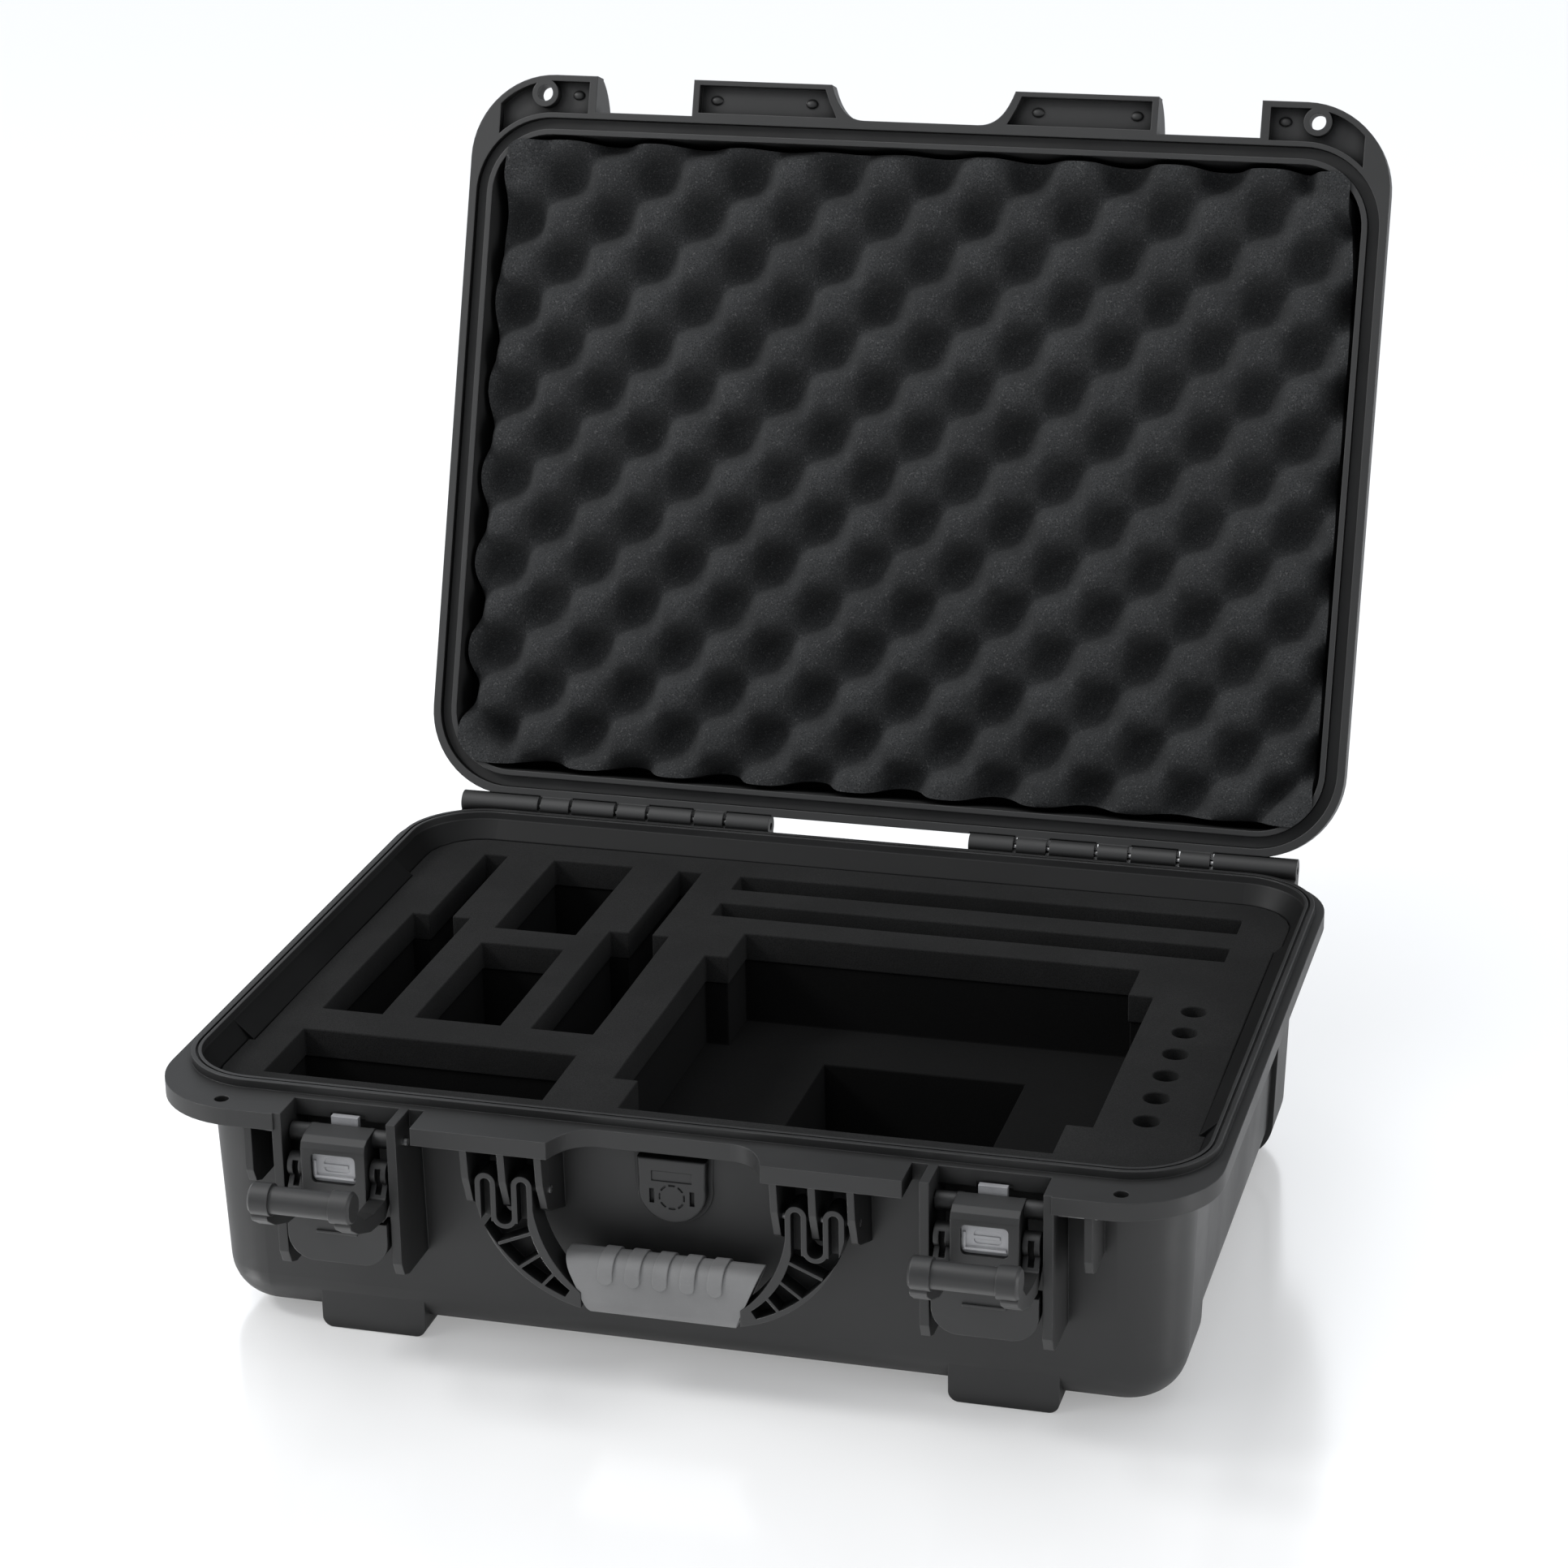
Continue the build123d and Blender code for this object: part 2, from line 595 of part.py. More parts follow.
def handle_frame():
    arm = plate_y(Curve() + arm_outline(), ARM_BACK, ARM_FRONT)
    arm = arm - handle_pocket()
    arm -= rod_x(HANDLE_Y, HANDLE_Z, HANDLE_PIN_R + RUN_CLEAR, 50, 100)
    core = box(-39, 39, -196, -187, 46, 61)
    return arm + [mirrored(arm), core]


def handle_grip(frame):
    bar = grip_bar(0, -50, 50)
    middles = [BAND_PITCH * i for i in range(-2, 3)]
    bands = []
    for middle in middles:
        ring = grip_bar(0.8, middle - BAND_HALF, middle + BAND_HALF)
        ring = fillet(ring.edges().filter_by(GeomType.LINE, reverse=True), 0.5)
        upper = box(middle - 9, middle + 9, -230, -150, BAND_END_Z, 90)
        bands.append(ring & (upper + rod_y(middle, BAND_END_Z, BAND_HALF, -230, -150)))
    wedge = make_face(Polyline((-48, 72), (48, 72), (32.2, 34), (-32.2, 34), close=True))
    wedge = Pos(0, -150, 0) * extrude(Plane.XZ * wedge, 80)
    grip = (bar + bands) & wedge
    return grip - frame


def handle_pin():
    return rod_x(HANDLE_Y, HANDLE_Z, HANDLE_PIN_R, PRONG_X[0] - 0.6, PRONG_X[2] + PRONG_T)


# ---- latch, built about its own middle and then moved to each side ----


def latch_lever():
    barrels = [rod_x(PIVOT_Y, LEVER_PIVOT_Z, BARREL_R, s * 13, s * 25.2) for s in (-1, 1)]
    roof_y, roof_z = PIVOT_Y - 1, LEVER_PIVOT_Z + 4.8
    cover = [
        (PIVOT_Y + 0.5, roof_z), (PANEL_FRONT + 5, roof_z - 1.2), (PANEL_FRONT + 1.2, roof_z - 3),
        (PANEL_FRONT, roof_z - 6), (PANEL_FRONT, 80), (PANEL_FRONT + PANEL_T, 80),
        (PANEL_FRONT + PANEL_T, roof_z - 6.0), (PANEL_FRONT + 5.4, roof_z - 3.5),
        (PIVOT_Y + 0.5, roof_z - 2.4),
    ]
    front = plate_x(cover, -COVER_HALF, COVER_HALF)
    cheek = [
        (PIVOT_Y + 4, LEVER_PIVOT_Z - 2), (PIVOT_Y + 2.5, LEVER_PIVOT_Z + 4), (PIVOT_Y, roof_z),
        (PANEL_FRONT + 5, roof_z - 1.4), (PANEL_FRONT + 0.8, roof_z - 6), (PANEL_FRONT + 0.8, 62),
        (PANEL_FRONT + 6, 60), (PIVOT_Y + 3, 88), (PIVOT_Y + 5, CLAW_PIVOT_Z),
    ]
    cheeks = [plate_x(cheek, s * 12.8, s * COVER_HALF) for s in (-1, 1)]
    side, corner = (SKIRT_HALF, SKIRT_LOW_Z + 12), (20.2, SKIRT_LOW_Z + 3.2)
    skirt_outline = Curve() + [
        Polyline(side, (SKIRT_HALF, SKIRT_TOP_Z), (-SKIRT_HALF, SKIRT_TOP_Z), (-side[0], side[1])),
        ThreePointArc((-side[0], side[1]), (-corner[0], corner[1]), (-11, SKIRT_LOW_Z)),
        Line((-11, SKIRT_LOW_Z), (11, SKIRT_LOW_Z)),
        ThreePointArc((11, SKIRT_LOW_Z), corner, side),
    ]
    skirt = plate_y(skirt_outline, PANEL_FRONT + 9.5, PANEL_FRONT + 0.8)
    inner = Pos(0, PANEL_FRONT + 7.3, 0) * box(-SKIRT_HALF + 2.6, SKIRT_HALF - 2.6, -4, 4, 64, 100)
    lever = (skirt - inner) + [front] + cheeks + barrels
    lever += box(-10, 10, PANEL_FRONT - 0.2, PANEL_FRONT + 2, 71.0, 72.2)
    window = extrude(RectangleRounded(21.6, 14.5, 2.4), PANEL_T + OVER, both=True)
    window = Pos(0, PANEL_FRONT + PANEL_T / 2, 103.75) * Rot(90, 0, 0) * window
    tab_room = box(-12.8, 12.8, PIVOT_Y + 0.8, PIVOT_Y + 8, 99, LEVER_PIVOT_Z - 1)
    lever -= [window, tab_room]
    lever -= rod_x(PIVOT_Y, LEVER_PIVOT_Z, LATCH_PIN_R + RUN_CLEAR, -30, 30)
    return lever - rod_x(PIVOT_Y, CLAW_PIVOT_Z, CLAW_PIN_R, -30, 30)


def slide_lock():
    front, top = PANEL_FRONT + PANEL_T + 0.2, SLIDE_TAB_TOP_Z
    face = box(-11.6, 11.6, front, front + 1.4, 96.0, 110.6)
    emblem = extrude(RectangleRounded(12.5, 6.5, 2.0), 0.5, both=True)
    face -= Pos(1.0, front, 104.6) * Rot(90, 0, 0) * emblem
    sill = box(-9.6, 9.6, front - 1.3, front, 98.4, 99.6)
    lip = box(-10.0, -8.8, front - 1.0, front, 98.0, 106.8)
    web = box(-6.5, 6.5, front, PIVOT_Y + 3.6, 103.6, 105.2)
    tab = box(-SLIDE_TAB_HALF, SLIDE_TAB_HALF, PIVOT_Y + 2.1, PIVOT_Y + 3.6, 103.6, top)
    head = box(-SLIDE_TAB_HALF, SLIDE_TAB_HALF, PIVOT_Y + 2.1, PIVOT_Y + 5.1, top - 5.2, top)
    return face + [sill, lip, web, tab, head]


def latch_claw():
    bar = rod_x(BAR_Y, BAR_Z, BAR_R, -BAR_HALF, BAR_HALF)
    bar = chamfer(bar.edges(), 1.2)
    bar -= rod_x(BAR_Y, BAR_Z, BAR_R + 1, -14.5, 14.5) - rod_x(BAR_Y, BAR_Z, BAR_R - 1.2, -16, 16)

    def near(y, z):
        """A point given from the claw's pivot."""
        return (PIVOT_Y + y, CLAW_PIVOT_Z + z)

    # the arms bow downwards, so that they pass in front of the lever's barrels when closed
    arm = [
        near(1, 6), near(-7, 4.6), near(-13, -4.8), near(-27, -4.8), near(-39, -2.5),
        near(-46, 4), near(-57, 4), near(-55, 0), near(-47, -5.6), near(-32, -11.6),
        near(-14, -13.8), near(-4, -6),
    ]
    lug = near(-6.0, 6.0)
    pieces, cuts = [], []
    for s in (-1, 1):
        x0, x1 = sorted((s * ARM_IN, s * ARM_OUT))
        pieces.append(plate_x(arm, x0, x1, radius=1.6))
        pieces.append(rod_x(PIVOT_Y, CLAW_PIVOT_Z, HUB_R, x0, x1))
        pieces.append(rod_x(*lug, 5.7, x0, x1))
        cuts.append(box(x0 + 2.5, x1 - 2.5, lug[0] - 9, lug[0] - 1.5, lug[1] - 9, lug[1] + 3.4))
    claw = bar + pieces - cuts
    return claw - rod_x(PIVOT_Y, CLAW_PIVOT_Z, CLAW_PIN_R + RUN_CLEAR, -30, 30)


def claw_pin():
    return rod_x(PIVOT_Y, CLAW_PIVOT_Z, CLAW_PIN_R, -ARM_OUT, ARM_OUT)


def latch_pin():
    pin = rod_x(PIVOT_Y, LEVER_PIVOT_Z, LATCH_PIN_R, 121.2 - LATCH_X, 200.2 - LATCH_X)
    return pin


def main():
    nodes = {}
    nodes["base_shell"] = base_shell()
    nodes["foam_top_layer"] = foam_top_layer()
    nodes["foam_core"] = foam_core()
    nodes["foam_floor_pad"] = foam_floor_pad()
    nodes["valve_housing"] = valve_housing()
    nodes["valve_o_ring"] = valve_o_ring()
    nodes["valve_membrane"] = valve_membrane()
    nodes["valve_nut"] = valve_nut()
    nodes["valve_cap"] = valve_cap()
    nodes["lid_shell"] = opened(lid_shell())
    nodes["lid_gasket"] = opened(lid_gasket())
    nodes["lid_foam"] = opened(lid_foam())
    frame = handle_frame()
    nodes["handle_frame"] = frame
    nodes["handle_grip"] = handle_grip(frame)
    lever, slide, claw = latch_lever(), slide_lock(), latch_claw()
    for side, sign in SIDES.items():
        place = Pos(sign * LATCH_X, 0, 0)
        nodes[f"latch_lever_{side}"] = place * lever
        nodes[f"slide_lock_{side}"] = place * slide
        nodes[f"latch_claw_{side}"] = place * claw
        nodes[f"claw_pin_{side}"] = place * claw_pin()
        pin = Pos(LATCH_X, 0, 0) * latch_pin()
        nodes[f"latch_pin_{side}"] = pin if sign > 0 else mirrored(pin)
        nodes[f"hinge_pin_{side}"] = hinge_pin() if sign > 0 else mirrored(hinge_pin())
        nodes[f"handle_pin_{side}"] = handle_pin() if sign > 0 else mirrored(handle_pin())

    os.makedirs("parts", exist_ok=True)
    for name, shape in nodes.items():
        export_step(shape, f"parts/{name}.step")


main()
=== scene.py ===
import json
from math import cos, pi, radians, sin, tanh

import bmesh
import bpy
from mathutils import Matrix, Vector, noise


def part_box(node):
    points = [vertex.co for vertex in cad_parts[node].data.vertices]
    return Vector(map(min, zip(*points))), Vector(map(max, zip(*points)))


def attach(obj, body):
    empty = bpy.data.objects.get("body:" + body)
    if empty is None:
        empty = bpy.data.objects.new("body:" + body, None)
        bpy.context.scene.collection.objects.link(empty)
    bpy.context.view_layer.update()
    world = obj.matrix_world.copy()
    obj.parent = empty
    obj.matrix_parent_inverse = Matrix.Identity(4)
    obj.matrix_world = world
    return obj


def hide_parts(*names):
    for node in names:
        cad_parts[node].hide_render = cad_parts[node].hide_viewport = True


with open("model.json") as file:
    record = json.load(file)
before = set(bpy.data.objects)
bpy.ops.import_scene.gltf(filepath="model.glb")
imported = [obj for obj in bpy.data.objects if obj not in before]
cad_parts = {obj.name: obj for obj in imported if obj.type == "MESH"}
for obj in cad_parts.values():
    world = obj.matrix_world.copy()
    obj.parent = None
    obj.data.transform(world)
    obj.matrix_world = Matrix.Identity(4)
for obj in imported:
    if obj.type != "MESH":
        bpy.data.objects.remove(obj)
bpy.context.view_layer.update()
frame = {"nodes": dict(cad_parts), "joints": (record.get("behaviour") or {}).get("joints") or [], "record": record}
nodes = frame["nodes"]
MM = 0.001
CORNER_AT = Vector((205.0, 141.0)) * MM  # every plan corner of the shells is round about this

# ---------------------------------------------------------------- camera
IMAGE = 1932
FOCAL = 4950.0
SENSOR = 36.0
AZIMUTH, ELEVATION, ROLL = radians(15.64), radians(20.40), radians(-0.89)
SHIFT_X, SHIFT_Y, DISTANCE = 4.8 * MM, 91.8 * MM, 1979.6 * MM
AIM = Vector((0, 0, 132 * MM))


def make_camera():
    back = Vector((
        sin(AZIMUTH) * cos(ELEVATION), -cos(AZIMUTH) * cos(ELEVATION), sin(ELEVATION)
    ))
    side = Vector((0, 0, 1)).cross(back).normalized()
    up = back.cross(side)
    x_axis = side * cos(ROLL) + up * sin(ROLL)
    y_axis = up * cos(ROLL) - side * sin(ROLL)
    place = AIM + x_axis * SHIFT_X + y_axis * SHIFT_Y + back * DISTANCE
    data = bpy.data.cameras.new("camera")
    data.sensor_width = SENSOR
    data.lens = FOCAL / IMAGE * SENSOR
    data.clip_end = 100
    cam = bpy.data.objects.new("camera", data)
    turn = Matrix((x_axis, y_axis, back)).transposed().to_4x4()
    cam.matrix_world = Matrix.Translation(place) @ turn
    bpy.context.scene.collection.objects.link(cam)
    bpy.context.scene.camera = cam


# ---------------------------------------------------------------- light and floor
def area_light(name, place, target, size, watts, colour=(1, 1, 1)):
    data = bpy.data.lights.new(name, "AREA")
    data.shape = "RECTANGLE"
    data.size, data.size_y = size
    data.energy = watts
    data.color = colour
    lamp = bpy.data.objects.new(name, data)
    lamp.location = place
    aim = Vector(target) - Vector(place)
    lamp.rotation_euler = aim.to_track_quat("-Z", "Y").to_euler()
    bpy.context.scene.collection.objects.link(lamp)


def make_stage():
    world = bpy.data.worlds.new("studio")
    bpy.context.scene.world = world
    bpy.context.scene.view_settings.view_transform = "Standard"
    world.use_nodes = True
    back = world.node_tree.nodes["Background"]
    back.inputs["Color"].default_value = (0.93, 0.96, 1.0, 1)
    back.inputs["Strength"].default_value = 0.72
    area_light("key", (-1.9, -0.65, 1.75), (0, 0.1, 0.25), (0.55, 0.55), 30)
    area_light("top", (-0.5, -0.4, 2.6), (0, 0, 0.1), (2.2, 1.6), 24)
    area_light("front_left", (-2.0, -1.9, 1.4), (0, 0, 0.2), (1.4, 1.4), 12)
    area_light("right", (2.2, -0.2, 0.30), (0.2, 0, 0.08), (0.5, 1.6), 19)

    mesh = bpy.data.meshes.new("floor")
    far = 30.0
    corners = [(-far, -far, 0), (far, -far, 0), (far, far, 0), (-far, far, 0)]
    mesh.from_pydata(corners, [], [(0, 1, 2, 3)])
    floor_piece = bpy.data.objects.new("floor", mesh)
    floor_piece.location.z = -0.0004
    bpy.context.scene.collection.objects.link(floor_piece)
    mat = bpy.data.materials.new("floor_pale")
    mat.use_nodes = True
    shader = mat.node_tree.nodes["Principled BSDF"]
    shader.inputs["Base Color"].default_value = (0.93, 0.93, 0.93, 1)
    shader.inputs["Roughness"].default_value = 0.16
    shader.inputs["Metallic"].default_value = 0.40
    shader.inputs["Emission Color"].default_value = (1, 1, 1, 1)
    shader.inputs["Emission Strength"].default_value = 0.30
    mesh.materials.append(mat)


# ---------------------------------------------------------------- materials
class Net:
    """A short way to write a material's node tree."""

    def __init__(self, name):
        self.mat = bpy.data.materials.new(name)
        self.mat.use_nodes = True
        self.tree = self.mat.node_tree
        self.shader = self.tree.nodes["Principled BSDF"]
        self.place = self.add("ShaderNodeTexCoord").outputs["Object"]

    def add(self, kind, **props):
        node = self.tree.nodes.new(kind)
        for key, value in props.items():
            setattr(node, key, value)
        return node

    def link(self, a, b):
        self.tree.links.new(a, b)

    def put(self, socket, value):
        if isinstance(value, bpy.types.NodeSocket):
            self.link(value, socket)
        else:
            socket.default_value = value

    def noise(self, scale, detail=2.0, rough=0.5, distortion=0.0, stretch=None):
        vector = self.place
        if stretch:
            mapping = self.add("ShaderNodeMapping")
            self.link(self.place, mapping.inputs["Vector"])
            mapping.inputs["Scale"].default_value = stretch
            vector = mapping.outputs["Vector"]
        node = self.add("ShaderNodeTexNoise")
        self.link(vector, node.inputs["Vector"])
        node.inputs["Scale"].default_value = scale
        node.inputs["Detail"].default_value = detail
        node.inputs["Roughness"].default_value = rough
        node.inputs["Distortion"].default_value = distortion
        return node.outputs["Fac"]

    def cells(self, scale, feature="F1"):
        node = self.add("ShaderNodeTexVoronoi", feature=feature)
        self.link(self.place, node.inputs["Vector"])
        node.inputs["Scale"].default_value = scale
        return node.outputs["Distance"]

    def ramp(self, value, low, high, out_low=0.0, out_high=1.0, smooth=True):
        node = self.add("ShaderNodeMapRange")
        if smooth:
            node.interpolation_type = "SMOOTHSTEP"
        self.link(value, node.inputs["Value"])
        node.inputs["From Min"].default_value = low
        node.inputs["From Max"].default_value = high
        node.inputs["To Min"].default_value = out_low
        node.inputs["To Max"].default_value = out_high
        return node.outputs["Result"]

    def math(self, kind, a, b=0.5):
        node = self.add("ShaderNodeMath", operation=kind)
        self.put(node.inputs[0], a)
        self.put(node.inputs[1], b)
        return node.outputs[0]

    def vector(self, kind, a, b=None):
        node = self.add("ShaderNodeVectorMath", operation=kind)
        self.put(node.inputs[0], a)
        if b is not None:
            node.inputs[1].default_value = b
        return node.outputs["Vector"]

    def mix(self, factor, a, b):
        node = self.add("ShaderNodeMix", data_type="RGBA")
        self.put(node.inputs["Factor"], factor)
        for socket, value in ((node.inputs[6], a), (node.inputs[7], b)):
            self.put(socket, value if isinstance(value, bpy.types.NodeSocket) else (*value, 1))
        return node.outputs[2]

    def bump(self, height, strength, distance, normal=None):
        node = self.add("ShaderNodeBump")
        node.inputs["Strength"].default_value = strength
        node.inputs["Distance"].default_value = distance
        self.link(height, node.inputs["Height"])
        if normal:
            self.link(normal, node.inputs["Normal"])
        return node.outputs["Normal"]

    def edges(self, radius, samples=6):
        """(rounded normal, edge mask) from a small bevel that only the shading sees."""
        bevel = self.add("ShaderNodeBevel", samples=samples)
        bevel.inputs["Radius"].default_value = radius
        geometry = self.add("ShaderNodeNewGeometry")
        dot = self.add("ShaderNodeVectorMath", operation="DOT_PRODUCT")
        self.link(bevel.outputs["Normal"], dot.inputs[0])
        self.link(geometry.outputs["Normal"], dot.inputs[1])
        mask = self.ramp(dot.outputs["Value"], 0.995, 0.80)
        return bevel.outputs["Normal"], mask

    def crevice(self, reach, samples=6):
        """Mask for painted shade: 0 on open faces to 1 deep in corners and slots."""
        shelter = self.add("ShaderNodeAmbientOcclusion", samples=samples)
        shelter.inputs["Distance"].default_value = reach
        return self.ramp(shelter.outputs["AO"], 0.80, 0.30)

    def set(self, **values):
        for key, value in values.items():
            self.put(self.shader.inputs[key.replace("_", " ")], value)


def grey(value, warm=0.0):
    return (value * (1 + warm), value, value * (1 - warm))


MOUTH_OUT, MOUTH_IN = 36.5 * MM, 36.2 * MM  # from the corners' centre, round the foam
MOUTH_LOW, MOUTH_HIGH = 118.6 * MM, 128.4 * MM
LATCH_X, LATCH_HALF = 152.7 * MM, 26.0 * MM
RIM_FACE_Y, RIM_FACE_TOP = 187.5 * MM, 127.9 * MM
# painted shade in crevices and slots: how far the occlusion reaches and how much it darkens
CREVICE_REACH = 14.0 * MM
CREVICE_SHARE = 0.62


def base_shade(net):
    """Painted shade mask: 1 on the base's sheltered faces: the mouth above the foam, and the rim over each latch.
    """
    plan = net.vector("SUBTRACT", net.vector("ABSOLUTE", net.place), (CORNER_AT.x, CORNER_AT.y, 0))
    plan = net.vector("MULTIPLY", net.vector("MAXIMUM", plan, (0, 0, 0)), (1, 1, 0))
    reach = net.add("ShaderNodeVectorMath", operation="LENGTH")
    net.link(plan, reach.inputs[0])
    split = net.add("ShaderNodeSeparateXYZ")
    net.link(net.place, split.inputs[0])
    x, y, z = split.outputs
    mouth = net.ramp(reach.outputs["Value"], MOUTH_OUT, MOUTH_IN)
    mouth = net.math("MULTIPLY", mouth, net.ramp(z, MOUTH_LOW, MOUTH_LOW + 0.3 * MM))
    mouth = net.math("MULTIPLY", mouth, net.ramp(z, MOUTH_HIGH, MOUTH_HIGH - 1.0 * MM))
    across = net.math("ABSOLUTE", net.math("SUBTRACT", net.math("ABSOLUTE", x), LATCH_X))
    bay = net.ramp(across, LATCH_HALF, LATCH_HALF - 1.0 * MM)
    face = net.math("ABSOLUTE", net.math("ADD", y, RIM_FACE_Y))
    bay = net.math("MULTIPLY", bay, net.ramp(face, 0.6 * MM, 0.3 * MM))
    bay = net.math("MULTIPLY", bay, net.ramp(z, RIM_FACE_TOP, RIM_FACE_TOP - 1.4 * MM))
    return net.math("MAXIMUM", mouth, bay)


def moulded_plastic(name, base, light, rough, grain=2600.0, edge=0.0008, wear_and_highlight=0.5, shade=None):
    """Spark-textured injection moulding: fine grain, faint clouds, paler edges that are partly scuffing and partly
    a painted highlight, and painted shade in crevices.
    """
    net = Net(name)
    normal, mask = net.edges(edge)
    clouds = net.noise(9.0, 4, 0.6, 0.4)
    scuffs = net.noise(34.0, 6, 0.62, 0.0, stretch=(1.0, 1.0, 3.5))
    fine = net.noise(grain, 2, 0.55)
    tone = net.mix(net.ramp(clouds, 0.35, 0.7), base, [c * 1.22 for c in base])
    tone = net.mix(net.ramp(scuffs, 0.62, 0.8, 0, 0.35), tone, [c * 1.9 for c in base])
    # paler edges: partly scuffing, partly a painted highlight along the ridges
    worn_and_highlit = net.math("MULTIPLY", mask, net.ramp(net.noise(75.0, 3, 0.6), 0.3, 0.62))
    tone = net.mix(net.math("MULTIPLY", worn_and_highlit, wear_and_highlight), tone, light)
    tone = net.mix(net.ramp(fine, 0.60, 0.75, 0, 0.25), tone, [c * 1.6 for c in base])
    # painted shade: colour and reflection are darkened in crevices and slots
    crevice_painted_shade = net.math("MULTIPLY", net.crevice(CREVICE_REACH), CREVICE_SHARE)
    tone = net.mix(crevice_painted_shade, tone, [c * 0.3 for c in base])
    roughness = net.ramp(clouds, 0.25, 0.75, rough - 0.06, rough + 0.08)
    roughness = net.math("SUBTRACT", roughness, net.math("MULTIPLY", worn_and_highlit, 0.08))
    bumped = net.bump(fine, 0.22, 0.00012, normal)
    gloss = net.ramp(crevice_painted_shade, 0, CREVICE_SHARE, 0.44, 0.08)
    # painted shade on the base's sheltered faces: darker colour and weaker reflection
    if shade:
        sheltered = shade(net)
        tone = net.mix(net.math("MULTIPLY", sheltered, 0.8), tone, [c * 0.25 for c in base])
        gloss = net.math("MULTIPLY", gloss, net.ramp(sheltered, 0, 1, 1, 0.38))
    net.set(Base_Color=tone, Roughness=roughness, Normal=bumped)
    net.set(IOR=1.5, Specular_IOR_Level=gloss)
    return net.mat


def foam(name, base, fleck, cell=1150.0, flecks=0.5, depth=0.0003):
    """Open-cell foam: pitted surface, dark pores and a few bright cut cell walls."""
    net = Net(name)
    pores = net.cells(cell)
    fine = net.noise(cell * 1.7, 2, 0.6)
    clouds = net.noise(22.0, 3, 0.55)
    sparkle = net.noise(cell * 0.9, 1, 0.4)
    tone = net.mix(net.ramp(clouds, 0.3, 0.72), [c * 0.86 for c in base], [c * 1.18 for c in base])
    tone = net.mix(net.ramp(pores, 0.12, 0.62), [c * 0.55 for c in base], tone)
    bright = net.math("MULTIPLY", net.ramp(sparkle, 0.60, 0.72), flecks)
    tone = net.mix(bright, tone, fleck)
    height = net.math("ADD", net.math("MULTIPLY", pores, 0.7), net.math("MULTIPLY", fine, 0.6))
    net.set(Base_Color=tone, Normal=net.bump(height, 0.55, depth))
    net.set(Roughness=0.96, Specular_IOR_Level=0.06)
    net.set(Sheen_Weight=0.02, Sheen_Roughness=0.6)
    return net.mat


def rubber(name, base, rough=0.62, grain=1700.0):
    net = Net(name)
    normal, mask = net.edges(0.0006)
    clouds = net.noise(26.0, 4, 0.6)
    fine = net.noise(grain, 2, 0.5)
    tone = net.mix(net.ramp(clouds, 0.3, 0.7), [c * 0.9 for c in base], [c * 1.1 for c in base])
    tone = net.mix(net.ramp(fine, 0.58, 0.72, 0, 0.22), tone, [c * 1.25 for c in base])
    # paler edges: a painted highlight along the rounded edges
    tone = net.mix(net.math("MULTIPLY", mask, 0.35), tone, [c * 1.3 for c in base])
    net.set(Base_Color=tone, Roughness=net.ramp(clouds, 0.3, 0.7, rough - 0.06, rough + 0.06))
    net.set(Normal=net.bump(fine, 0.25, 0.0001, normal), Specular_IOR_Level=0.4)
    return net.mat


def metal(name, base, rough=0.32):
    net = Net(name)
    brushed = net.noise(420.0, 3, 0.6, 0.0, stretch=(0.06, 1.0, 1.0))
    spots = net.noise(160.0, 3, 0.6)
    tone = net.mix(net.ramp(spots, 0.45, 0.75), base, [c * 0.72 for c in base])
    net.set(Base_Color=tone, Roughness=net.ramp(brushed, 0.3, 0.7, rough - 0.08, rough + 0.1))
    net.set(Normal=net.bump(brushed, 0.12, 0.00008), Metallic=1.0)
    return net.mat


def silver_plastic(name, base):
    net = Net(name)
    normal, mask = net.edges(0.0004)
    fine = net.noise(2200.0, 2, 0.5)
    clouds = net.noise(60.0, 3, 0.6)
    tone = net.mix(net.ramp(clouds, 0.3, 0.7), [c * 0.88 for c in base], [c * 1.08 for c in base])
    tone = net.mix(net.ramp(fine, 0.58, 0.7, 0, 0.3), tone, [c * 1.2 for c in base])
    # paler edges: a painted highlight along the rounded edges
    tone = net.mix(net.math("MULTIPLY", mask, 0.3), tone, [min(1, c * 1.3) for c in base])
    net.set(Base_Color=tone, Normal=net.bump(fine, 0.15, 0.00008, normal))
    net.set(Metallic=0.35, Roughness=net.ramp(clouds, 0.3, 0.7, 0.36, 0.46))
    return net.mat


def paint(obj, mat):
    obj.data.materials.clear()
    obj.data.materials.append(mat)


# ---------------------------------------------------------------- mesh helpers
def new_piece(name, bm, body, stands_for, mat):
    mesh = bpy.data.meshes.new(name)
    bm.normal_update()
    bm.to_mesh(mesh)
    bm.free()
    obj = bpy.data.objects.new(name, mesh)
    bpy.context.scene.collection.objects.link(obj)
    paint(obj, mat)
    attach(obj, body)
    if stands_for:
        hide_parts(*stands_for)
    return obj


def joint(name):
    return next(j for j in frame["joints"] if j["name"] == name)


# ---------------------------------------------------------------- egg-crate foam in the lid
CRATE_START = Vector((-196.9, -151.6)) * MM  # one valley, seen in the closed lid
CRATE_ALONG = Vector((51.2, -2.5)) * MM  # to the next valley in its row
CRATE_ACROSS = Vector((0.4, 23.55)) * MM  # to the next row, whose valleys sit half a pitch over
CRATE_DEPTH = 23.0 * MM  # crest to valley
CRATE_STEEP = 1.25
CRATE_BROAD = 1.3  # above 1 the crests are broader than the valleys
RIDGE_SHARE = 0.57  # over a half, the crests join into ridges along one slant
CRATE_STEP = 2.0 * MM
CORNER_SHELL = 30.2 * MM  # the foam fits inside the lid's wall up to this radius
CORNER_REACH = 35.5 * MM  # and its square corners bulge over the lip as far as this
FLAP_FRONT, FLAP_BACK = 126.8 * MM, 128.1 * MM
